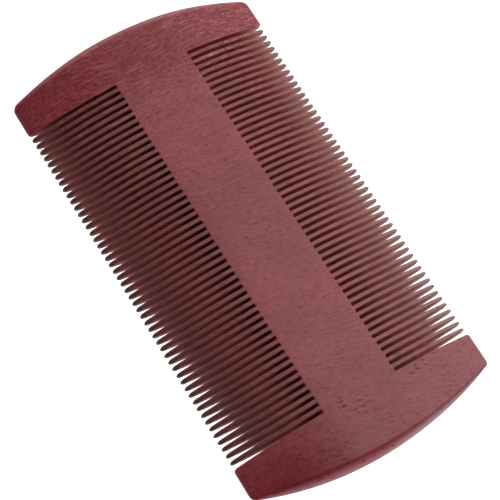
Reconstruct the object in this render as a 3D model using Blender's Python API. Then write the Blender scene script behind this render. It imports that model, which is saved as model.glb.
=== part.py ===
"""A double-sided beard comb, cut in one piece from a single board of red hardwood.

The comb lies flat. Its length runs along X, its teeth and its grain run along Y, and Z is its
thickness. The origin is midway along the two rows of teeth. All sizes are in metres.
"""

import math

import bmesh
import bpy

# Driving dimensions
END_REACH = {-1: 0.05010, 1: 0.05065}  # from the origin to each bowed end
WIDTH = 0.0550
THICKNESS = 0.0110
PITCH = 0.0015  # tooth to tooth, the same in both rows
TEETH_PER_ROW = 51

# Cross-section across the width: a flat land in the middle that falls away to thin edges
LAND_HALF_WIDTH = 0.0050
EDGE_THICKNESS = 0.0014
EDGE_ROUNDING = 0.0006
CROWN_POWER = 1.8

# Bowed ends with rounded corners and a rounded rim; the keys are the end and the side
END_BOW_RADIUS = {-1: 0.0850, 1: 0.0775}
END_BOW_CENTRE = {-1: -0.0006, 1: 0.0005}
CORNER_RADIUS = {(-1, -1): 0.0013, (-1, 1): 0.0013, (1, -1): 0.0010, (1, 1): 0.0007}
RIM_DEPTH = {-1: 0.0028, 1: 0.0014}
RIM_THINNING = 0.5  # how fast the rim gets shallower as the board gets thinner
RIM_POWER = 2.3
RIM_MEETS = 1e-6  # half thickness below which the two faces share one vertex

# Slots between the teeth
ROOT_LINE = 0.00825  # from the centre line of the comb to the closed end of each slot
SLOT_WIDTH = 0.00070
SLOT_WIDTH_BELOW_TIP = 0.00074
MOUTH_WIDTH = 0.00122
TIP_ROUND = 0.0009  # length of the tooth tip over which the slot opens to its mouth
GUARD_CORNER = 0.0007  # how much more the mouth opens beside an end guard
ROOT_CORNER = 0.00012  # the closed end is flat, with small corners
FLARE_START = 0.0160
FLARE_MIDDLE = 0.0220
SLOT_WIDTH_MIDDLE = 0.00072

# Stations of the surface, as distances from the centre line and from the end of the comb
CROWN_STATIONS = (LAND_HALF_WIDTH, 0.0100, FLARE_START, FLARE_MIDDLE)
EDGE_STEPS = 2
RIM_STEPS = 5

WOOD_COLOUR = (0.27, 0.042, 0.050, 1.0)
WOOD_ROUGHNESS = 0.5
SHARP_FROM = math.radians(35)


def clear_scene():
    for item in list(bpy.data.objects):
        bpy.data.objects.remove(item)


def wood_material():
    """Plum-red hardwood with a dull oiled finish."""
    material = bpy.data.materials.new("red_hardwood")
    material.use_nodes = True
    shader = material.node_tree.nodes["Principled BSDF"]
    shader.inputs["Base Color"].default_value = WOOD_COLOUR
    shader.inputs["Roughness"].default_value = WOOD_ROUGHNESS
    shader.inputs["Metallic"].default_value = 0.0
    return material


def quarter_round(share):
    """Height of a quarter circle of radius 1 at this share of its width."""
    return math.sqrt(max(0.0, 1.0 - share * share))


def crown(y):
    """Half the thickness of the board at y, before its side edge is rounded."""
    edge_start = WIDTH / 2 - EDGE_ROUNDING
    reach = min(abs(y), edge_start)
    share = max(0.0, reach - LAND_HALF_WIDTH) / (edge_start - LAND_HALF_WIDTH)
    return THICKNESS / 2 - (THICKNESS - EDGE_THICKNESS) / 2 * share**CROWN_POWER


def half_thickness(y):
    """Half the thickness of the board at a distance y from the centre line."""
    past_edge = max(0.0, abs(y) - (WIDTH / 2 - EDGE_ROUNDING))
    return crown(y) * quarter_round(past_edge / EDGE_ROUNDING)


def end_reach(end, y):
    """Distance from the origin to one bowed end, measured along X at this y."""
    radius = END_BOW_RADIUS[end]
    bow = radius - math.sqrt(radius**2 - (y - END_BOW_CENTRE[end]) ** 2)
    corner = CORNER_RADIUS[end, 1 if y > 0 else -1]
    into_corner = max(0.0, abs(y) - (WIDTH / 2 - corner)) / corner
    return END_REACH[end] - bow - corner * (1.0 - quarter_round(into_corner))


def rim_depth(end, y):
    """How far in from the end the rounded rim reaches."""
    return RIM_DEPTH[end] * (crown(y) / (THICKNESS / 2)) ** RIM_THINNING


def width_stations():
    """Distances from the centre line at which the surface has a line of vertices."""
    edge_start = WIDTH / 2 - EDGE_ROUNDING
    positive = list(CROWN_STATIONS) + [WIDTH / 2 - max(CORNER_RADIUS.values())]
    for step in range(EDGE_STEPS + 1):
        positive.append(edge_start + EDGE_ROUNDING * math.sin(math.pi / 2 * step / EDGE_STEPS))
    return [-y for y in reversed(positive)] + [0.0] + positive


def rim_stations():
    """Pairs of shares: of the rim's depth, in from the end, and of the full thickness there."""
    stations = []
    for step in range(RIM_STEPS + 1):
        angle = math.pi / 2 * step / RIM_STEPS
        inward = 1.0 - math.cos(angle) ** (2 / RIM_POWER)
        stations.append((inward, math.sin(angle) ** (2 / RIM_POWER)))
    return stations


def length_positions(y):
    """Pairs of x and share of the full thickness, from one end of the comb to the other."""
    halves = []
    for end in (-1, 1):
        reach = end_reach(end, y)
        depth = rim_depth(end, y)
        halves.append([(end * (reach - depth * inward), share) for inward, share in rim_stations()])
    return halves[0] + halves[1][::-1]


def build_blank():
    """The comb before its teeth are cut: two crowned faces that meet along one rim."""
    mesh = bpy.data.meshes.new("comb")
    shape = bmesh.new()
    faces = {1: [], -1: []}
    for y in width_stations():
        positions = length_positions(y)
        rows = {1: [], -1: []}
        for x, share in positions:
            height = half_thickness(y) * share
            upper = shape.verts.new((x, y, height if height >= RIM_MEETS else 0.0))
            lower = upper if height < RIM_MEETS else shape.verts.new((x, y, -height))
            rows[1].append(upper)
            rows[-1].append(lower)
        faces[1].append(rows[1])
        faces[-1].append(rows[-1])
    for side, rows in faces.items():
        for row, following in zip(rows, rows[1:]):
            for index in range(len(row) - 1):
                corners = [row[index], row[index + 1], following[index + 1], following[index]]
                shape.faces.new(corners if side == 1 else corners[::-1])
    bmesh.ops.recalc_face_normals(shape, faces=shape.faces[:])
    shape.to_mesh(mesh)
    shape.free()
    comb = bpy.data.objects.new("comb", mesh)
    bpy.context.collection.objects.link(comb)
    return comb


def slot_flank(guard_corner):
    """One flank of a slot, from its straight part out past the tooth tips."""
    mouth = MOUTH_WIDTH / 2 + guard_corner
    return [
        (SLOT_WIDTH / 2, FLARE_START),
        (SLOT_WIDTH_MIDDLE / 2, FLARE_MIDDLE),
        (SLOT_WIDTH_BELOW_TIP / 2, WIDTH / 2 - TIP_ROUND - guard_corner),
        (mouth, WIDTH / 2),
        (mouth, WIDTH / 2 + 2 * PITCH),
    ]


def slot_outline(side, guard):
    """Plan of one slot around x = 0: flat at its root, flared at its mouth.

    guard is -1 or 1 where an end guard is the neighbour on that side, and 0 elsewhere.
    """
    right = slot_flank(GUARD_CORNER if guard == 1 else 0.0)
    left = slot_flank(GUARD_CORNER if guard == -1 else 0.0)
    root = [
        (-SLOT_WIDTH / 2, ROOT_LINE + ROOT_CORNER),
        (-SLOT_WIDTH / 2 + ROOT_CORNER, ROOT_LINE),
        (SLOT_WIDTH / 2 - ROOT_CORNER, ROOT_LINE),
        (SLOT_WIDTH / 2, ROOT_LINE + ROOT_CORNER),
    ]
    plan = right + [(-x, y) for x, y in reversed(left)] + root
    return [(x, side * y) for x, y in plan]


def add_slot(shape, x_centre, side, guard):
    """One saw cut, through the whole thickness."""
    plan = slot_outline(side, guard)
    ring = [shape.verts.new((x_centre + x, y, -THICKNESS)) for x, y in plan]
    floor = shape.faces.new(ring)
    lifted = bmesh.ops.extrude_face_region(shape, geom=[floor])
    top = [item for item in lifted["geom"] if isinstance(item, bmesh.types.BMVert)]
    bmesh.ops.translate(shape, vec=(0.0, 0.0, 2 * THICKNESS), verts=top)


def build_slot_cutter():
    """All the saw cuts of both rows; a row of teeth has one more slot than teeth."""
    mesh = bpy.data.meshes.new("slots")
    shape = bmesh.new()
    slots = TEETH_PER_ROW + 1
    for side in (-1, 1):
        for index in range(slots):
            guard = {0: -1, slots - 1: 1}.get(index, 0)
            add_slot(shape, (index - (slots - 1) / 2) * PITCH, side, guard)
    bmesh.ops.recalc_face_normals(shape, faces=shape.faces[:])
    shape.to_mesh(mesh)
    shape.free()
    cutter = bpy.data.objects.new("slots", mesh)
    bpy.context.collection.objects.link(cutter)
    cutter.hide_render = True
    cutter.display_type = "WIRE"
    return cutter


def cut_teeth(comb, cutter):
    cut = comb.modifiers.new("slots", "BOOLEAN")
    cut.operation = "DIFFERENCE"
    cut.solver = "EXACT"
    cut.object = cutter


def smooth(comb):
    """Round faces are shaded smooth, and real edges stay sharp."""
    comb.data.shade_smooth()
    comb.data.set_sharp_from_angle(angle=SHARP_FROM)


def main():
    clear_scene()
    comb = build_blank()
    comb.data.materials.append(wood_material())
    smooth(comb)
    cut_teeth(comb, build_slot_cutter())


main()
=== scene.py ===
"""Looks of the beard comb: the finely finished mesh of its one piece, its wood, and a plain studio.

The comb is one board of red hardwood. Its length runs along X, its teeth and grain along Y, and
Z is its thickness. All sizes are in metres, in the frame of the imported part.
"""

import math
import random

import bmesh
import bpy
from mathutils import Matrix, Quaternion, Vector


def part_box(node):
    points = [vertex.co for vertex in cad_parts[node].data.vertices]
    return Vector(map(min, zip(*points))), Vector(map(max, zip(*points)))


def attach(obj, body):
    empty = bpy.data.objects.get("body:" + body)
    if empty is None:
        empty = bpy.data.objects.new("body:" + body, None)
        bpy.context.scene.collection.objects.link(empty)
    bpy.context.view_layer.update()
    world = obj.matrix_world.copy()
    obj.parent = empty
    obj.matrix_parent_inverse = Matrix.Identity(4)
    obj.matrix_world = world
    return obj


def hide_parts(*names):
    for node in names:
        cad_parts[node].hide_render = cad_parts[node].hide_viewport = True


# Rows of teeth; the keys -1 and 1 are the left (-Y) and the right (+Y) row
PITCH = 0.0015
TEETH_PER_ROW = 51
SLOTS = TEETH_PER_ROW + 1
ROOT_LINE = 0.00825  # from the centre line of the comb to the closed end of each slot
ROOT_CORNER = 0.00012  # the closed end is flat, with small rounded corners
SLOT_WIDTH = 0.00070
TAPER_START = 0.0140  # distance from the centre line where the teeth begin to narrow
TAPER_POWER = 1.6
TIP_SHARE = 0.95  # width of a tooth where its round tip begins, as a share of its width at the root
TIP_ROUND = 0.0009  # length of the round tip, seen from above
TIP_SHORTFALL = {-1: 0.00010, 1: 0.00028}  # how far the tips stay behind the end guards
GUARD_FLARE = 0.00014  # how much a guard narrows from the root of the last slot to its mouth
GUARD_CORNER = 0.0008  # radius of the guard's corner at that mouth

# Small scatter left by cutting and sanding by hand
CENTRE_SCATTER = 0.000012
ROOT_SCATTER = 0.00007
WIDTH_SCATTER = 0.000012
TIP_SCATTER = 0.000035
SEED = 7

# Body; the first key is the far (-1, at -X) or the near (1, at +X) end, and the second is the row
LAND_HALF_WIDTH = 0.0050
EDGE_THICKNESS = 0.0014
EDGE_ROUNDING = 0.0006  # how far in from its side edges the board is rounded
CROWN_POWER = 1.8
END_BOW_RADIUS = {-1: 0.0850, 1: 0.0775}
END_BOW_CENTRE = {-1: -0.0006, 1: 0.0005}
CORNER_RADIUS = {(-1, -1): 0.0013, (-1, 1): 0.0013, (1, -1): 0.0010, (1, 1): 0.0007}
RIM_DEPTH = {-1: 0.0028, 1: 0.0014}
RIM_POWER = 2.3
RIM_THINNING = 0.5  # how fast the rim gets shallower as the board gets thinner
ROOT_ROUNDING = 0.00009  # radius of a tooth's sanded edge at its root
TIP_ROUNDING = 0.00020  # and near its tip
ROUNDING_LIMIT = 0.9  # a sanded edge takes up at most this share of the height or half width
BAND_CLEARANCE = 0.0003  # between the plain band and the closed ends of the slots

# Fineness of the mesh
ROUNDING_STEPS = 3
ROOT_ARC_STEPS = 4
TOOTH_STEPS = 11
TIP_STEPS = 8
RIM_STEPS = 12
GUARD_STEPS = 6
GUARD_BODY_STEPS = 10
GUARD_TURN_STEPS = 3
WALL_STEPS = 3
BAND_SPACING = 0.0018
WELD = 2e-7

# Material slots
SANDED = 0
SAWN = 1

# Wood colours, linear; the keys -1 and 1 are the left and the right row
SANDED_LIGHT = (0.302, 0.047, 0.057, 1)
SANDED_DARK = (0.234, 0.035, 0.042, 1)
SAWN_LIGHT = (0.52, 0.105, 0.095, 1)
SAWN_DARK = (0.38, 0.065, 0.060, 1)
PORE_COLOUR = (0.050, 0.006, 0.007, 1)
# Painted highlights: light streaks and dashes laid into the colour on the broad faces of the far end
GLINT_COLOUR = (0.60, 0.21, 0.22, 1)
# Painted shade: crimson laid into the corners on the left and the right side of the far guard, where
# less light falls
CORNER_SHADE_COLOUR = (0.175, 0.015, 0.021, 1)
# Painted shade: the dark red band just inside the rounded near end
RIM_SHADE_COLOUR = (0.340, 0.022, 0.034, 1)
# Painted shade: the left row's slots darkened at their closed ends and towards the far end
ROOT_SHADE_COLOUR = (0.120, 0.012, 0.012, 1)
# The left row's tint is darker than the right's: painted shade and painted light
TOOTH_TINT = {-1: (0.77, 1.10, 0.93, 1), 1: (0.86, 1.25, 1.04, 1)}  # browner than the band
# Painted shade on the outer teeth of the left row, and painted pale grey light on those of the right
# row
TIP_COLOUR = {-1: (0.115, 0.036, 0.034, 1), 1: (0.300, 0.145, 0.125, 1)}
SAWN_TIP_COLOUR = {-1: (0.300, 0.078, 0.070, 1), 1: (0.450, 0.325, 0.285, 1)}
# Painted light: the sawn walls paler towards the tips, where light from the table below reaches them;
# paler and greyer on the right row
BOUNCE_LIGHT_COLOUR = {-1: (0.750, 0.240, 0.215, 1), 1: (0.740, 0.340, 0.310, 1)}
# Painted shade at the very ends of the teeth on the left row, near black, and painted grey light on
# the right row
TIP_END_COLOUR = {-1: (0.045, 0.036, 0.034, 1), 1: (0.210, 0.160, 0.145, 1)}

# Noise in the wood, with feature sizes across the grain, along it and through the thickness
WANDER = {"size": (0.022, 0.030, 0.022), "detail": 1.0}
FIGURE = {"size": (0.009, 0.018, 0.009), "detail": 3.0, "roughness": 0.55, "distortion": 0.8}
STREAKS = {"size": (0.00045, 0.0060, 0.0020), "detail": 3.0, "roughness": 0.6}
FIBRES = {"size": (0.00042, 0.0011, 0.0006), "detail": 2.0, "roughness": 0.6, "distortion": 0.4}
CLUMPS = {"size": (0.005, 0.010, 0.005), "detail": 1.0}
PORES = {"size": (0.00017, 0.0017, 0.0006), "detail": 1.0, "roughness": 0.4}
# The glints and curled glints make painted highlights, not marks of the wood
GLINTS = {"size": (0.00015, 0.0055, 0.0014), "detail": 1.5}
CURLED_GLINTS = {"size": (0.00034, 0.0013, 0.0008), "detail": 1.0, "distortion": 0.7}
SAW_MARKS = {"size": (0.01, 0.00025, 0.006), "detail": 2.0, "roughness": 0.7}

# Values of the noise between which a feature appears
TONE_LEVELS = (0.36, 0.64)
PORE_LEVELS = (0.715, 0.81)
GLINT_LEVELS = (0.59, 0.67)
CURLED_GLINT_LEVELS = (0.59, 0.69)

# How the grain bends, and how the noises add up
GRAIN_WANDER = 0.006
GRAIN_LEAN = -0.16  # change in X for each step in Y, where the grain leans
PORE_CLUMPING = 0.13
TONE = {"figure": 0.50, "streaks": 0.50}
TEXTURE = {"fibres": 0.88, "streaks": 0.12}
TEXTURE_STRENGTH = 0.85
FAR_TEXTURE = 0.8  # added to that strength at the far end
FLECK = (1.30, 3.1, 2.6)  # how strongly the fine texture changes red, green and blue
FLECK_LEVEL = 1.03  # what it multiplies the colour by where it is neutral

# Zones of the wood: where along X or Y each one begins, and where it is full
LEANING_X = (-0.045, -0.010)
FAR_X = (-0.022, -0.040)
# Where the painted highlights of the far end go
GLINT_ZONE_Y = (-0.028, -0.008)
FAR_RIGHT_Y = (0.006, 0.014)
# The corners on the left, far and near, where painted shade goes
FAR_CORNER_X = (-0.030, -0.043)
FAR_CORNER_Y = (0.034, -0.012)
NEAR_CORNER_X = (0.036, 0.046)
NEAR_CORNER_Y = (-0.004, -0.020)
# Where the painted shade of the near rim goes
NEAR_RIM_X = (0.0486, 0.0501)
NEAR_RIM_Y = (0.010, -0.003)
RIGHT_Y = (-0.001, 0.001)
PALER_ROOTS_X = (0.0, 0.030)
SHADE_X = (0.004, -0.034)

# The same, as distances from the centre line of the comb
TEETH_FROM = (0.0080, 0.0088)
TIPS_FROM = (0.0145, 0.0245)
RIGHT_TIPS_LATER = 0.0035
TIPS_SLANT = 0.06  # how fast the zone of the tips widens towards the near end
BOUNCE_LIGHT_FROM = (0.0135, 0.0215)
BOUNCE_LIGHT_SLANT = 0.17
TIP_ENDS_FROM = (0.0252, 0.0273)
ROOT_FROM = (0.0135, 0.0085)
GUARD_EDGE_FROM = (0.0266, 0.0275)

GUARD_FROM = (0.0378, 0.0388)  # along X, from the middle of the comb
FACING = (0.55, 0.85)  # how squarely a broad face points up or down

# How strongly each mask acts
# Painted shade: how much crimson is laid into the shaded corners and the far right of the far guard
CRIMSON_SHADE = {"shaded_corners": 0.50, "far_right": 0.22}
# The pores are the wood's own colour; the other masks are painted light and shade
STAIN_AND_PAINTED_LIGHT = {
    "rim": 0.55,
    "pores": 0.42,
    "glints": 0.55,
    "root": 0.8,
    "bounce_light": 0.85,
    "tips": 0.70,
    "tip_ends": 0.75,
}
GUARD_EDGE = 0.6  # the tips' painted shade and light on the side edges of the guards
RIM_IN_CORNER = 0.6  # share of the rim's red that is lost in the near corner
PALER_ROOTS = 0.5  # share of the roots' darkness that is lost at the near end
SHADE = 0.62  # darkness of the slots at the far end, where full darkness is 1
FAR_PORES_LOST = 0.7  # share of the pores that is lost at the far end
FIBRE_ROUGHNESS = 0.16
PORE_ROUGHNESS = 0.15
DULLNESS = {"pores": 0.8, "shaded_corners": 0.5, "rim": 0.8}
RELIEF = {"fibres": 0.5, "streaks": 0.3, "pores": -0.5}
SAW_MARK_RELIEF = 0.8
BUMP_STRENGTH = 0.45
BUMP_DISTANCE = 0.00007

# Studio
FLOOR_RADIUS = 3.0
FLOOR_COLOUR = (0.35, 0.35, 0.35, 1)
FLOOR_ROUGHNESS = 0.9
FLOOR_LIGHT = 1.6
FLOOR_BEYOND = 1.0  # the table is dimmer beyond the two ends
FLOOR_BEYOND_FROM = (0.040, 0.060)
FLOOR_SEEN = 1.2  # how bright the table looks to the camera
FILL = 0.05
LIGHT_DISTANCE = 0.8

# Camera, at the angle of the reference photograph
CAMERA_AIM = Vector((0.00283, -0.00131, 0.0))
CAMERA_DISTANCE = 0.3050
CAMERA_AZIMUTH = math.radians(37.35)
CAMERA_ELEVATION = math.radians(66.7)
CAMERA_ROLL = math.radians(22.33)
CAMERA_LENS = 111.6
CAMERA_SENSOR = 36.0
CAMERA_CLIP_START = 0.01


# ---------------------------------------------------------------- shape of the board

class Board:
    """Sizes of the comb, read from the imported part. Its origin is midway along the rows of teeth."""

    def __init__(self, low, high):
        self.reach = {-1: -low.x, 1: high.x}
        self.half_width = high.y
        self.half_thickness = high.z
        self.edge_start = high.y - EDGE_ROUNDING

    def crown(self, y):
        """Half thickness at a distance y from the centre line, before the side edge is rounded."""
        reach = min(abs(y), self.edge_start)
        share = max(0.0, reach - LAND_HALF_WIDTH) / (self.edge_start - LAND_HALF_WIDTH)
        return self.half_thickness - (self.half_thickness - EDGE_THICKNESS / 2) * share**CROWN_POWER

    def height(self, y):
        """Half thickness at y, with the rounded side edge."""
        return self.crown(y) * quarter_round((abs(y) - self.edge_start) / EDGE_ROUNDING)

    def end_reach(self, end, y):
        """Distance along X from the origin to the bowed end at this y."""
        radius = END_BOW_RADIUS[end]
        bow = radius - math.sqrt(radius**2 - (y - END_BOW_CENTRE[end]) ** 2)
        corner = CORNER_RADIUS[end, 1 if y > 0 else -1]
        into_corner = (abs(y) - (self.half_width - corner)) / corner
        return self.reach[end] - bow - corner * (1.0 - quarter_round(into_corner))

    def rim_depth(self, end, y):
        """How far in from the end the rounded rim reaches; less where the board is thinner."""
        return RIM_DEPTH[end] * (self.crown(y) / self.half_thickness) ** RIM_THINNING


def quarter_round(share):
    """Height of a quarter circle of radius 1 at this share of its width."""
    share = min(1.0, max(0.0, share))
    return math.sqrt(1.0 - share**2)


def mix(a, b, share):
    return a + (b - a) * share


def steps(first, last, count):
    """count + 1 evenly spaced values from first to last."""
    return [mix(first, last, index / count) for index in range(count + 1)]


def rounding_stations(radius):
    """Pairs (in from the wall, down from the face) along a rounded edge, from the wall up."""
    angles = steps(0.0, math.pi / 2, ROUNDING_STEPS)
    return [(radius * (1 - math.cos(a)), radius * (1 - math.sin(a))) for a in angles]


def edge_rounding(board, y):
    """Radius of the sanded edge of a tooth at y; larger near the tips, and never over the height."""
    along = (abs(y) - ROOT_LINE) / (board.half_width - ROOT_LINE)
    radius = mix(ROOT_ROUNDING, TIP_ROUNDING, max(0.0, along) ** 2)
    return min(radius, ROUNDING_LIMIT * board.height(y))


# ---------------------------------------------------------------- the saw cuts

class Slot:
    """One saw cut: its centre line, half its width, and where its walls start to turn at the root."""

    def __init__(self, index, draw):
        self.centre = (index - (SLOTS - 1) / 2) * PITCH + draw.uniform(-1, 1) * CENTRE_SCATTER
        self.half = SLOT_WIDTH / 2 + draw.uniform(-1, 1) * WIDTH_SCATTER
        self.arc_y = ROOT_LINE + ROOT_CORNER + draw.uniform(-1, 1) * ROOT_SCATTER

    def low(self):
        """x of its wall on the -X side."""
        return self.centre - self.half

    def high(self):
        """x of its wall on the +X side."""
        return self.centre + self.half


def taper(board, y):
    """0 at the root of a tooth and 1 where its round tip begins."""
    share = (y - TAPER_START) / (board.half_width - TIP_ROUND - TAPER_START)
    return min(1.0, max(0.0, share)) ** TAPER_POWER


def tooth_rows(board, start):
    """Distances from the centre line at which a tooth has a ring of points, after its root."""
    tip_start = board.half_width - TIP_ROUND
    body = steps(start, tip_start, TOOTH_STEPS)[1:]
    tip = [tip_start + TIP_ROUND * math.sin(a) for a in steps(0, math.pi / 2, TIP_STEPS)[1:]]
    return body + tip


def guard_rows(board, start, radius):
    """The same for an end guard, with more points where its corners round off."""
    corner = board.half_width - max(GUARD_CORNER, radius)
    body = steps(start, corner, GUARD_BODY_STEPS)[1:]
    turn = steps(corner, board.edge_start, GUARD_TURN_STEPS)[1:]
    angles = steps(0, math.pi / 2, TIP_STEPS)[1:]
    return body + turn + [board.edge_start + EDGE_ROUNDING * math.sin(a) for a in angles]


# ---------------------------------------------------------------- collecting the surface

class Skin:
    """Collects grids of points into one mesh. Both faces of the comb are made together."""

    def __init__(self, board):
        self.board = board
        self.points = []
        self.faces = []
        self.finishes = []

    def grid(self, rows, finish):
        """Quads between rows of points; every row has the same number of points."""
        base = len(self.points)
        count = len(rows[0])
        for row in rows:
            self.points.extend(row)
        for r in range(len(rows) - 1):
            for c in range(count - 1):
                corner = base + r * count + c
                self.faces.append((corner, corner + 1, corner + count + 1, corner + count))
                self.finishes.append(finish)

    def faces_of_board(self, rows):
        """A grid on the upper face, and its twin on the lower face.

        Each point is (x, y, share of the full height, drop below it).
        """
        for side in (1, -1):
            self.grid([[self.lift(point, side) for point in row] for row in rows], SANDED)

    def lift(self, point, side):
        x, y, share, drop = point
        return (x, y, side * max(0.0, self.board.height(y) * share - drop))

    def wall(self, path):
        """The sawn wall under a path of points, from the upper face to the lower."""
        rows = []
        for level in steps(1.0, -1.0, WALL_STEPS):
            rows.append([(point[0], point[1], level * self.lift(point, 1)[2]) for point in path])
        self.grid(rows, SAWN)


def flip(points, side):
    """The same points on the other row of teeth when side is -1."""
    return [(point[0], side * point[1]) + tuple(point[2:]) for point in points]


# ---------------------------------------------------------------- teeth

class Tooth:
    """The wood between two neighbouring slots."""

    def __init__(self, before, after, side, draw):
        self.shortfall = TIP_SHORTFALL[side]
        self.before = before
        self.after = after
        self.middle = (before.high() + after.low()) / 2
        self.half = (after.low() - before.high()) / 2
        self.lean = draw.uniform(-1, 1) * TIP_SCATTER

    def ring(self, board, y):
        """Points (x, y, share, drop) across the upper face at y, from one wall to the other."""
        grown = taper(board, y)
        half = self.half * mix(1.0, TIP_SHARE, grown)
        half *= quarter_round((y - board.half_width + TIP_ROUND) / TIP_ROUND)
        middle = self.middle + self.lean * grown
        radius = min(edge_rounding(board, y), ROUNDING_LIMIT * half)
        stations = rounding_stations(radius)
        placed = y - self.shortfall * grown
        share = board.height(y) / board.height(placed)
        low = [(middle - half + inward, placed, share, drop) for inward, drop in stations]
        high = [(middle + half - inward, placed, share, drop) for inward, drop in reversed(stations)]
        return low + [(middle, placed, share, 0.0)] + high

    def root_ring(self):
        """The first ring, at the closed ends of the two slots."""
        stations = rounding_stations(ROOT_ROUNDING)
        low_wall = self.middle - self.half
        high_wall = self.middle + self.half
        low_y, high_y = self.before.arc_y, self.after.arc_y
        low = [(low_wall + inward, low_y, 1.0, drop) for inward, drop in stations]
        high = [(high_wall - inward, high_y, 1.0, drop) for inward, drop in reversed(stations)]
        return low + [(self.middle, (low_y + high_y) / 2, 1.0, 0.0)] + high

    def rings(self, board):
        start = ROOT_LINE + ROOT_CORNER + ROOT_SCATTER
        return [self.root_ring()] + [self.ring(board, y) for y in tooth_rows(board, start)]


def add_tooth(skin, tooth, side):
    rings = tooth.rings(skin.board)
    skin.faces_of_board([flip(ring, side) for ring in rings])
    for edge in (0, -1):
        skin.wall(flip([ring[edge] for ring in rings], side))


def arc_points(slot, inward):
    """Points around the closed end of a slot, this far outside its wall."""
    radius = ROOT_CORNER + inward
    points = []
    for side in (-1, 1):
        turn_x = slot.centre + side * (slot.half - ROOT_CORNER)
        first = math.pi if side < 0 else 1.5 * math.pi
        for angle in steps(first, first + math.pi / 2, ROOT_ARC_STEPS):
            points.append((turn_x + radius * math.cos(angle), slot.arc_y + radius * math.sin(angle)))
    return points


def add_slot_end(skin, slot, side):
    """The rounded edge and the sawn wall around the closed end of a slot."""
    rows = []
    for inward, drop in rounding_stations(ROOT_ROUNDING):
        rows.append([(x, y, 1.0, drop) for x, y in arc_points(slot, inward)])
    skin.faces_of_board([flip(row, side) for row in rows])
    wall_drop = rounding_stations(ROOT_ROUNDING)[0][1]
    skin.wall([(x, side * y, 1.0, wall_drop) for x, y in arc_points(slot, 0.0)])


# ---------------------------------------------------------------- end guards

class Guard:
    """The solid end of the comb beyond the last slot; end is -1 or 1."""

    def __init__(self, slots, end):
        self.end = end
        self.slots = slots
        self.rim = rim_stations()

    def flank(self, board, y, side):
        """Distance along X from the origin to the sawn flank at y."""
        slot = self.slots[side]
        wall = self.end * (slot.high() if self.end > 0 else slot.low())
        wall += GUARD_FLARE * taper(board, y)
        corner_start = board.half_width - GUARD_CORNER
        wall += GUARD_CORNER * (1.0 - quarter_round((y - corner_start) / GUARD_CORNER))
        return wall

    def outer(self, board, y, wall, side=1):
        """Points (x, y, share, drop) from the flank's rounded edge out to the rim.

        In the left row, side is -1 and y is the distance from the centre line.
        """
        depth = board.rim_depth(self.end, y)
        reach = board.end_reach(self.end, side * y)
        rim_start = reach - depth
        across = steps(wall, rim_start, GUARD_STEPS)[1:-1]
        points = [(self.end * x, y, 1.0, 0.0) for x in across]
        for inward, share in self.rim:
            points.append((self.end * (reach - depth * inward), y, share, 0.0))
        return points

    def row(self, board, y, side, radius):
        """Points (x, y, share, drop) from the sawn flank out to the rim."""
        wall = self.flank(board, y, side)
        stations = rounding_stations(radius)
        edge = [(self.end * (wall + inward), y, 1.0, drop) for inward, drop in stations]
        return edge + self.outer(board, y, wall + stations[-1][0], side)

    def rows(self, board, side):
        arc_y = self.slots[side].arc_y
        found = [self.row(board, arc_y, side, ROOT_ROUNDING)]
        for y in guard_rows(board, arc_y, CORNER_RADIUS[self.end, side]):
            found.append(self.row(board, y, side, edge_rounding(board, y)))
        return found


def rim_stations():
    """Pairs (share of the rim's depth in from the end, share of the full height), from inside out."""
    stations = []
    for angle in steps(math.pi / 2, 0.0, RIM_STEPS):
        inward = 1.0 - max(0.0, math.cos(angle)) ** (2 / RIM_POWER)
        stations.append((inward, math.sin(angle) ** (2 / RIM_POWER)))
    return stations


def add_guard(skin, guard, side):
    rows = guard.rows(skin.board, side)
    skin.faces_of_board([flip(row, side) for row in rows])
    skin.wall(flip([row[0] for row in rows], side))


# ---------------------------------------------------------------- the band between the rows

def root_line(skin, slots, guards, side):
    """Points along the closed ends of one row, from one end of the comb to the other."""
    outer = {}
    for end, guard in guards.items():
        row = guard.row(skin.board, guard.slots[side].arc_y, side, ROOT_ROUNDING)
        outer[end] = row[ROUNDING_STEPS + 1:]
    return outer[-1][::-1] + plain_root_points(slots) + outer[1]


def plain_root_points(slots):
    """Points around the ends of the slots and in the middle of each tooth root."""
    points = []
    for index, slot in enumerate(slots):
        if index:
            before = slots[index - 1]
            middle = (before.high() + slot.low()) / 2
            points.append((middle, (before.arc_y + slot.arc_y) / 2, 1.0, 0.0))
        points.extend((x, y, 1.0, 0.0) for x, y in arc_points(slot, ROOT_ROUNDING))
    return points


def band_row(skin, lines, guards, y):
    """The row of points across the band at y, blended from the two root lines."""
    board = skin.board
    inner = band_half_width()
    share = (y + inner) / (2 * inner)
    outer_count = len(guards[-1].outer(board, 0.0, 0.0))
    left, right = lines[-1], lines[1]
    plain = range(outer_count, len(left) - outer_count)
    middle = [(mix(left[i][0], right[i][0], share), y, 1.0, 0.0) for i in plain]
    far_end = guards[-1].outer(board, y, -middle[0][0])
    near_end = guards[1].outer(board, y, middle[-1][0])
    return far_end[::-1] + middle + near_end


def band_half_width():
    """Half the width of the plain band, clear of the closed ends of the slots."""
    return ROOT_LINE - ROOT_ROUNDING - ROOT_SCATTER - BAND_CLEARANCE


def add_band(skin, rows_of_slots, guards):
    lines = {side: root_line(skin, rows_of_slots[side], guards, side) for side in (-1, 1)}
    inner = band_half_width()
    count = 2 * math.ceil(inner / BAND_SPACING)
    rows = [band_row(skin, lines, guards, y) for y in steps(-inner, inner, count)]
    skin.faces_of_board([flip(lines[-1], -1)] + rows + [lines[1]])


# ---------------------------------------------------------------- the whole comb

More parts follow.
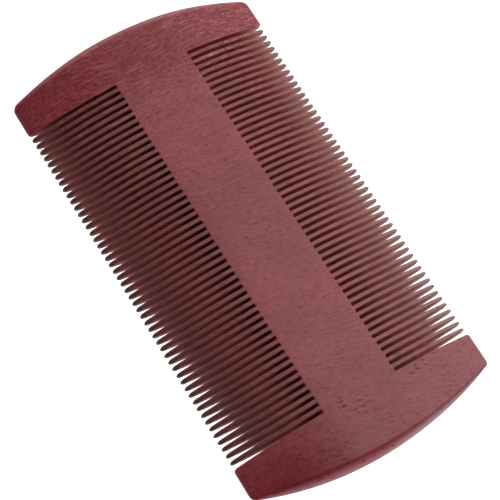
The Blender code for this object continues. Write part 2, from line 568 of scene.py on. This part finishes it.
def build_comb(board):
    draw = random.Random(SEED)
    skin = Skin(board)
    rows_of_slots = {side: [Slot(i, draw) for i in range(SLOTS)] for side in (-1, 1)}
    guards = {
        end: Guard({side: rows_of_slots[side][0 if end < 0 else -1] for side in (-1, 1)}, end)
        for end in (-1, 1)
    }
    for side in (-1, 1):
        slots = rows_of_slots[side]
        for before, after in zip(slots, slots[1:]):
            add_tooth(skin, Tooth(before, after, side, draw), side)
        for slot in slots:
            add_slot_end(skin, slot, side)
        for end in (-1, 1):
            add_guard(skin, guards[end], side)
    add_band(skin, rows_of_slots, guards)
    return closed_object("comb_body", skin)


def closed_object(name, skin):
    """Welds the collected grids into one closed mesh, shaded smooth but led by its larger faces."""
    mesh = bpy.data.meshes.new(name)
    mesh.from_pydata(skin.points, [], skin.faces)
    mesh.polygons.foreach_set("material_index", skin.finishes)
    shape = bmesh.new()
    shape.from_mesh(mesh)
    bmesh.ops.remove_doubles(shape, verts=shape.verts[:], dist=WELD)
    bmesh.ops.dissolve_degenerate(shape, edges=shape.edges[:], dist=WELD)
    bmesh.ops.recalc_face_normals(shape, faces=shape.faces[:])
    shape.to_mesh(mesh)
    shape.free()
    mesh.shade_smooth()
    comb = bpy.data.objects.new(name, mesh)
    bpy.context.scene.collection.objects.link(comb)
    even = comb.modifiers.new("even_shading", "WEIGHTED_NORMAL")
    even.mode = "FACE_AREA"
    return comb


# ---------------------------------------------------------------- wood

class Nodes:
    """Short calls for building one material's node tree."""

    def __init__(self, name):
        self.material = bpy.data.materials.new(name)
        self.material.use_nodes = True
        self.tree = self.material.node_tree
        self.shader = self.tree.nodes["Principled BSDF"]

    def link(self, source, target):
        self.tree.links.new(source, target)

    def add(self, kind, **inputs):
        """A new node; an underscore in an input's name here is a space in the node's own name."""
        node = self.tree.nodes.new(kind)
        for name, value in inputs.items():
            self.set(node.inputs[name.replace("_", " ")], value)
        return node

    def set(self, socket, value):
        if isinstance(value, bpy.types.NodeSocket):
            self.link(value, socket)
        else:
            socket.default_value = value

    def math(self, operation, first, second=0.0, clamp=False):
        node = self.add("ShaderNodeMath")
        node.operation = operation
        node.use_clamp = clamp
        self.set(node.inputs[0], first)
        self.set(node.inputs[1], second)
        return node.outputs[0]

    def band(self, value, low, high):
        """0 at low, 1 at high, and smooth between them; low may be the larger of the two."""
        node = self.add("ShaderNodeMapRange", Value=value, From_Min=low, From_Max=high)
        node.interpolation_type = "SMOOTHSTEP"
        return node.outputs["Result"]

    def plus(self, first, second, clamp=False):
        return self.math("ADD", first, second, clamp)

    def minus(self, first, second, clamp=False):
        return self.math("SUBTRACT", first, second, clamp)

    def times(self, first, second):
        return self.math("MULTIPLY", first, second)

    def noise(self, vector, size, detail, roughness=0.5, distortion=0.0):
        """Noise from 0 to 1 whose features have this size along each axis."""
        scaled = self.add("ShaderNodeMapping", Vector=vector, Scale=[1 / length for length in size])
        node = self.add("ShaderNodeTexNoise", Vector=scaled.outputs["Vector"], Scale=1.0)
        node.inputs["Detail"].default_value = detail
        node.inputs["Roughness"].default_value = roughness
        node.inputs["Distortion"].default_value = distortion
        return node.outputs["Fac"]

    def split(self, vector):
        return self.add("ShaderNodeSeparateXYZ", Vector=vector).outputs

    def place(self):
        """The position in the comb's own frame."""
        return self.add("ShaderNodeTexCoord").outputs["Object"]

    def blend(self, share, first, second, mode="MIX"):
        node = self.add("ShaderNodeMix")
        node.data_type = "RGBA"
        node.blend_type = mode
        self.set(node.inputs["Factor"], share)
        self.set(node.inputs["A"], first)
        self.set(node.inputs["B"], second)
        return node.outputs["Result"]


def grain_space(nodes, place, axes):
    """Position in the wood, bent so that the grain runs along Y with a slow wander."""
    wander = nodes.noise(place, **WANDER)
    lean = nodes.times(nodes.band(axes["X"], *LEANING_X), GRAIN_LEAN)
    shift = nodes.times(nodes.minus(wander, 0.5), GRAIN_WANDER)
    shift = nodes.plus(shift, nodes.times(lean, axes["Y"]))
    across = nodes.plus(axes["X"], shift)
    return nodes.add("ShaderNodeCombineXYZ", X=across, Y=axes["Y"], Z=axes["Z"]).outputs[0]


def facing(nodes):
    """1 on the two broad faces of the comb, and 0 on its ends, which the painted glints and the
    painted shade of the far right leave out.
    """
    normal = nodes.add("ShaderNodeNewGeometry").outputs["True Normal"]
    return nodes.band(nodes.math("ABSOLUTE", nodes.split(normal)["Z"]), *FACING)


def end_zones(nodes, x, y):
    """Masks for the far end, the painted glints on it, the painted shade of the crimson corners on the
    left and of the far guard's right side, and the painted shade of the near rim.
    """
    far = nodes.band(x, *FAR_X)
    flat = nodes.times(far, facing(nodes))
    far_left = nodes.times(nodes.band(x, *FAR_CORNER_X), nodes.band(y, *FAR_CORNER_Y))
    near_left = nodes.times(nodes.band(x, *NEAR_CORNER_X), nodes.band(y, *NEAR_CORNER_Y))
    bow = nodes.math("DIVIDE", nodes.times(y, y), 2 * END_BOW_RADIUS[1])
    rim = nodes.band(nodes.plus(x, bow), *NEAR_RIM_X)
    rim = nodes.times(rim, nodes.band(y, *NEAR_RIM_Y))
    return {
        "far": far,
        "glint_zone": nodes.times(flat, nodes.band(y, *GLINT_ZONE_Y)),
        "far_right": nodes.times(flat, nodes.band(y, *FAR_RIGHT_Y)),
        "shaded_corners": nodes.plus(far_left, near_left),
        "rim": nodes.times(rim, nodes.minus(1.0, nodes.times(near_left, RIM_IN_CORNER))),
    }


def root_shade(nodes, x, side):
    """Painted shade in the left row's slots: darkest at their closed ends and towards the far end."""
    paler = nodes.minus(1.0, nodes.times(nodes.band(x, *PALER_ROOTS_X), PALER_ROOTS))
    root = nodes.times(nodes.band(side, *ROOT_FROM), paler)
    return nodes.math("MAXIMUM", root, nodes.times(nodes.band(x, *SHADE_X), SHADE))


def tooth_zones(nodes, x, y, sawn):
    """Masks for the rows of teeth. Sawn walls have them on the flanks of the guards as well."""
    side = nodes.math("ABSOLUTE", y)
    guard = nodes.band(nodes.math("ABSOLUTE", x), *GUARD_FROM)
    teeth = 1.0 if sawn else nodes.minus(1.0, guard)
    right = nodes.band(y, *RIGHT_Y)
    tips = nodes.plus(side, nodes.times(x, TIPS_SLANT))
    tips = nodes.band(nodes.minus(tips, nodes.times(right, RIGHT_TIPS_LATER)), *TIPS_FROM)
    edge = nodes.times(nodes.band(side, *GUARD_EDGE_FROM), guard)
    bounce_light = nodes.band(nodes.plus(side, nodes.times(x, BOUNCE_LIGHT_SLANT)), *BOUNCE_LIGHT_FROM)
    return {
        "right": right,
        "root": nodes.times(root_shade(nodes, x, side), nodes.minus(1.0, right)),
        "teeth": nodes.times(nodes.band(side, *TEETH_FROM), teeth),
        "tip_ends": nodes.times(nodes.band(side, *TIP_ENDS_FROM), teeth),
        "tips": nodes.plus(nodes.times(tips, teeth), nodes.times(edge, GUARD_EDGE)),
        "bounce_light": nodes.times(bounce_light, teeth),
    }


def wood_layers(nodes, grain, axes, sawn):
    """Zones and noise layers that both finishes share, each as a value or a mask from 0 to 1."""
    layers = end_zones(nodes, axes["X"], axes["Y"])
    layers.update(tooth_zones(nodes, axes["X"], axes["Y"], sawn))
    clumps = nodes.times(nodes.noise(grain, **CLUMPS), PORE_CLUMPING)
    pores = nodes.band(nodes.plus(nodes.noise(grain, **PORES), clumps), *PORE_LEVELS)
    kept = nodes.minus(1.0, nodes.times(layers["far"], FAR_PORES_LOST))
    glints = nodes.band(nodes.noise(grain, **GLINTS), *GLINT_LEVELS)
    curled_glints = nodes.band(nodes.noise(grain, **CURLED_GLINTS), *CURLED_GLINT_LEVELS)
    glints = nodes.times(glints, layers["glint_zone"])
    curled_glints = nodes.times(curled_glints, layers["far_right"])
    layers["pores"] = nodes.times(pores, kept)
    layers["glints"] = nodes.math("MAXIMUM", glints, curled_glints)
    layers["figure"] = nodes.noise(grain, **FIGURE)
    layers["streaks"] = nodes.noise(grain, **STREAKS)
    layers["fibres"] = nodes.noise(grain, **FIBRES)
    return layers


def weighted(nodes, layers, weights):
    """The sum of some layers, each times its own weight."""
    total = 0.0
    for name, weight in weights.items():
        total = nodes.plus(total, nodes.times(layers[name], weight))
    return total


def flecked(nodes, layers, colour):
    """The colour with its fine texture, which is stronger at the far end."""
    strength = nodes.plus(nodes.times(layers["far"], FAR_TEXTURE), TEXTURE_STRENGTH)
    texture = nodes.minus(weighted(nodes, layers, TEXTURE), 0.5)
    texture = nodes.times(texture, strength)
    red, green, blue = [nodes.plus(nodes.times(texture, share), FLECK_LEVEL) for share in FLECK]
    fleck = nodes.add("ShaderNodeCombineXYZ", X=red, Y=green, Z=blue).outputs[0]
    return nodes.blend(1.0, colour, fleck, mode="MULTIPLY")


def stained_or_painted_light(nodes, layers, colour, mask, overlay_colour):
    """The colour blended towards another where the mask is, which may differ between the rows. The
    pores are the wood's own colour; the other masks lay in painted light and shade.
    """
    if isinstance(overlay_colour, dict):
        overlay_colour = nodes.blend(layers["right"], overlay_colour[-1], overlay_colour[1])
    return nodes.blend(nodes.times(layers[mask], STAIN_AND_PAINTED_LIGHT[mask]), colour, overlay_colour)


def wood_colour(nodes, layers, light, dark, sawn):
    """Slow figure, fine texture and pores, with painted glints and the painted light and shade of each
    zone.
    """
    tone = nodes.band(weighted(nodes, layers, TONE), *TONE_LEVELS)
    colour = flecked(nodes, layers, nodes.blend(tone, dark, light))
    colour = nodes.blend(weighted(nodes, layers, CRIMSON_SHADE), colour, CORNER_SHADE_COLOUR)
    colour = stained_or_painted_light(nodes, layers, colour, "rim", RIM_SHADE_COLOUR)
    colour = stained_or_painted_light(nodes, layers, colour, "pores", PORE_COLOUR)
    colour = stained_or_painted_light(nodes, layers, colour, "glints", GLINT_COLOUR)
    if sawn:
        colour = stained_or_painted_light(nodes, layers, colour, "root", ROOT_SHADE_COLOUR)
        colour = stained_or_painted_light(nodes, layers, colour, "bounce_light", BOUNCE_LIGHT_COLOUR)
    else:
        tint = nodes.blend(layers["right"], TOOTH_TINT[-1], TOOTH_TINT[1])
        colour = nodes.blend(layers["teeth"], colour, tint, mode="MULTIPLY")
    colour = stained_or_painted_light(nodes, layers, colour, "tips", SAWN_TIP_COLOUR if sawn else TIP_COLOUR)
    return stained_or_painted_light(nodes, layers, colour, "tip_ends", TIP_END_COLOUR)


def wood(name, light, dark, roughness, shine, sawn):
    """Red hardwood, sanded or sawn; the pores are rougher and duller than the wood around them."""
    nodes = Nodes(name)
    place = nodes.place()
    axes = nodes.split(place)
    layers = wood_layers(nodes, grain_space(nodes, place, axes), axes, sawn)
    nodes.link(wood_colour(nodes, layers, light, dark, sawn), nodes.shader.inputs["Base Color"])
    rough = nodes.times(layers["fibres"], FIBRE_ROUGHNESS)
    rough = nodes.plus(rough, roughness - FIBRE_ROUGHNESS / 2)
    rough = nodes.plus(rough, nodes.times(layers["pores"], PORE_ROUGHNESS), clamp=True)
    nodes.link(rough, nodes.shader.inputs["Roughness"])
    height = weighted(nodes, layers, RELIEF)
    if sawn:
        marks = nodes.noise(place, **SAW_MARKS)
        height = nodes.plus(height, nodes.times(marks, SAW_MARK_RELIEF))
    bump = nodes.add("ShaderNodeBump", Strength=BUMP_STRENGTH, Distance=BUMP_DISTANCE, Height=height)
    nodes.link(bump.outputs["Normal"], nodes.shader.inputs["Normal"])
    gloss = nodes.minus(1.0, weighted(nodes, layers, DULLNESS), clamp=True)
    nodes.link(nodes.times(gloss, shine), nodes.shader.inputs["Specular IOR Level"])
    return nodes.material


def sanded_wood():
    return wood("sanded_wood", SANDED_LIGHT, SANDED_DARK, roughness=0.46, shine=0.5, sawn=False)


def sawn_wood():
    return wood("sawn_wood", SAWN_LIGHT, SAWN_DARK, roughness=0.75, shine=0.15, sawn=True)


# ---------------------------------------------------------------- studio

def lit_white():
    """A grey that gives off white light, less of it beyond the ends of the comb.

    The camera sees it evenly lit.
    """
    nodes = Nodes("lit_white")
    nodes.shader.inputs["Base Color"].default_value = FLOOR_COLOUR
    nodes.shader.inputs["Roughness"].default_value = FLOOR_ROUGHNESS
    nodes.shader.inputs["Emission Color"].default_value = (1, 1, 1, 1)
    along = nodes.math("ABSOLUTE", nodes.split(nodes.place())["X"])
    beyond = nodes.band(along, *FLOOR_BEYOND_FROM)
    light = nodes.plus(nodes.times(beyond, FLOOR_BEYOND - FLOOR_LIGHT), FLOOR_LIGHT)
    by_camera = nodes.add("ShaderNodeLightPath").outputs["Is Camera Ray"]
    shown = nodes.add("ShaderNodeMapRange", Value=by_camera, To_Min=light, To_Max=FLOOR_SEEN)
    nodes.link(shown.outputs["Result"], nodes.shader.inputs["Emission Strength"])
    return nodes.material


def build_floor(board):
    """A lit table, so that the ground stays pale all round the comb."""
    mesh = bpy.data.meshes.new("floor")
    shape = bmesh.new()
    bmesh.ops.create_circle(shape, cap_ends=True, segments=64, radius=FLOOR_RADIUS)
    shape.to_mesh(mesh)
    shape.free()
    mesh.materials.append(lit_white())
    floor = bpy.data.objects.new("floor", mesh)
    floor.location.z = -board.half_thickness
    bpy.context.scene.collection.objects.link(floor)


def add_softbox(name, azimuth, elevation, size, radiance):
    """An area light aimed at the comb. Azimuth 0 is at -Y, and 90 at +X."""
    lamp = bpy.data.lights.new(name, "AREA")
    lamp.shape = "RECTANGLE"
    lamp.size, lamp.size_y = size
    lamp.energy = radiance * math.pi * size[0] * size[1]
    holder = bpy.data.objects.new(name, lamp)
    a, e = math.radians(azimuth), math.radians(elevation)
    back = Vector((math.sin(a) * math.cos(e), -math.cos(a) * math.cos(e), math.sin(e)))
    holder.location = back * LIGHT_DISTANCE
    holder.rotation_mode = "QUATERNION"
    holder.rotation_quaternion = (-back).to_track_quat("-Z", "Y")
    bpy.context.scene.collection.objects.link(holder)


def build_world():
    """White behind the comb for the camera, and a soft grey fill for the light."""
    world = bpy.data.worlds.new("studio")
    world.use_nodes = True
    tree = world.node_tree
    backdrop = tree.nodes["Background"]
    backdrop.inputs["Color"].default_value = (1, 1, 1, 1)
    fill = tree.nodes.new("ShaderNodeBackground")
    fill.inputs["Color"].default_value = (1, 1, 1, 1)
    fill.inputs["Strength"].default_value = FILL
    path = tree.nodes.new("ShaderNodeLightPath")
    chooser = tree.nodes.new("ShaderNodeMixShader")
    tree.links.new(path.outputs["Is Camera Ray"], chooser.inputs["Fac"])
    tree.links.new(fill.outputs[0], chooser.inputs[1])
    tree.links.new(backdrop.outputs[0], chooser.inputs[2])
    tree.links.new(chooser.outputs[0], tree.nodes["World Output"].inputs["Surface"])
    bpy.context.scene.world = world


def build_lights():
    add_softbox("window", azimuth=180, elevation=45, size=(0.44, 1.25), radiance=2.75)
    add_softbox("side_strip", azimuth=255, elevation=22, size=(0.85, 0.42), radiance=3.4)
    add_softbox("near_fill", azimuth=120, elevation=35, size=(0.42, 0.42), radiance=0.7)
    add_softbox("sky", azimuth=217, elevation=68, size=(0.50, 0.50), radiance=0.8)
    build_world()


def build_camera():
    camera = bpy.data.objects.new("camera", bpy.data.cameras.new("camera"))
    camera.data.lens = CAMERA_LENS
    camera.data.sensor_width = CAMERA_SENSOR
    camera.data.clip_start = CAMERA_CLIP_START
    level = math.cos(CAMERA_ELEVATION)
    back = Vector((
        math.sin(CAMERA_AZIMUTH) * level,
        -math.cos(CAMERA_AZIMUTH) * level,
        math.sin(CAMERA_ELEVATION),
    ))
    camera.location = CAMERA_AIM + back * CAMERA_DISTANCE
    camera.rotation_mode = "QUATERNION"
    turn = (-back).to_track_quat("-Z", "Y")
    camera.rotation_quaternion = turn @ Quaternion((0, 0, 1), CAMERA_ROLL)
    bpy.context.scene.collection.objects.link(camera)
    bpy.context.scene.camera = camera
    bpy.context.scene.view_settings.view_transform = "Standard"


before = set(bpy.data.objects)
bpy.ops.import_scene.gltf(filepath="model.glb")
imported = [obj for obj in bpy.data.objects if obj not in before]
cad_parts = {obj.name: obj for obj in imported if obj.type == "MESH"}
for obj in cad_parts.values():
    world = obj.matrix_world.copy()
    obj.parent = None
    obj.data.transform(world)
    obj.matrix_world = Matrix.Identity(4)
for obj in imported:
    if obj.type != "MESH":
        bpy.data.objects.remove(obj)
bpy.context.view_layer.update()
board = Board(*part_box("comb"))
comb = build_comb(board)
comb.data.materials.append(sanded_wood())
comb.data.materials.append(sawn_wood())
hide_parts("comb")
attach(comb, "root")
build_floor(board)
build_lights()
build_camera()
